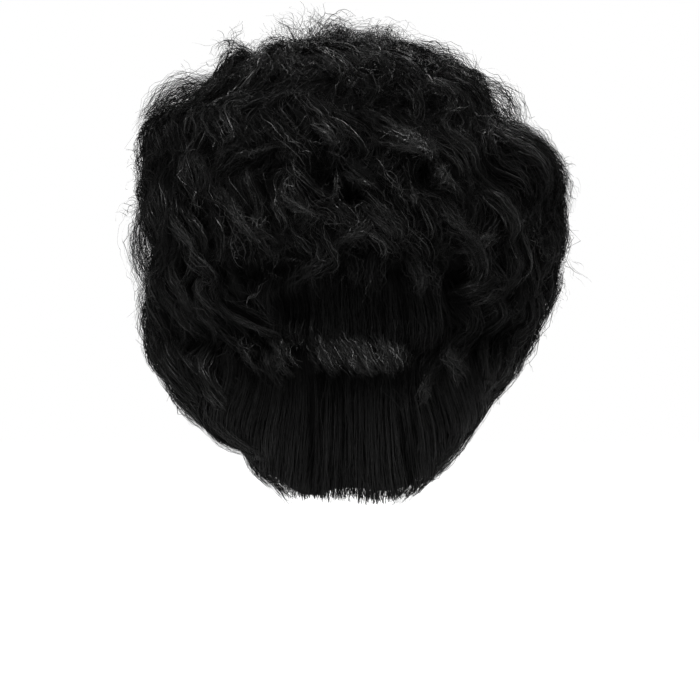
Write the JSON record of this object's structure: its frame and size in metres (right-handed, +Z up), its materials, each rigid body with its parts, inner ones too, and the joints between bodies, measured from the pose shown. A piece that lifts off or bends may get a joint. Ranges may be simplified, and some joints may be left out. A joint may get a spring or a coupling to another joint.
{
  "type": "beehive afro wig",
  "caption": "tall rounded beehive afro wig: waved and curled hair in sections on a hollow head cap, combed straight down to a narrow nape",
  "frame": {"origin": "the inside of the cap at its top, where it rests on the crown of the head", "axes": "+Z up, -Y the way the wearer's face looks, +X the wearer's left"},
  "size_m": [0.3477, 0.3095, 0.3696],
  "materials": {
    "cap": "matte stretch net",
    "hair": "black fibre with a soft sheen"
  },
  "bodies": {
    "root": {"wig_cap": "cap", "crown_hair": "hair", "front_hair": "hair", "side_hair_left": "hair", "side_hair_right": "hair", "nape_hair": "hair"}
  },
  "joints": []
}
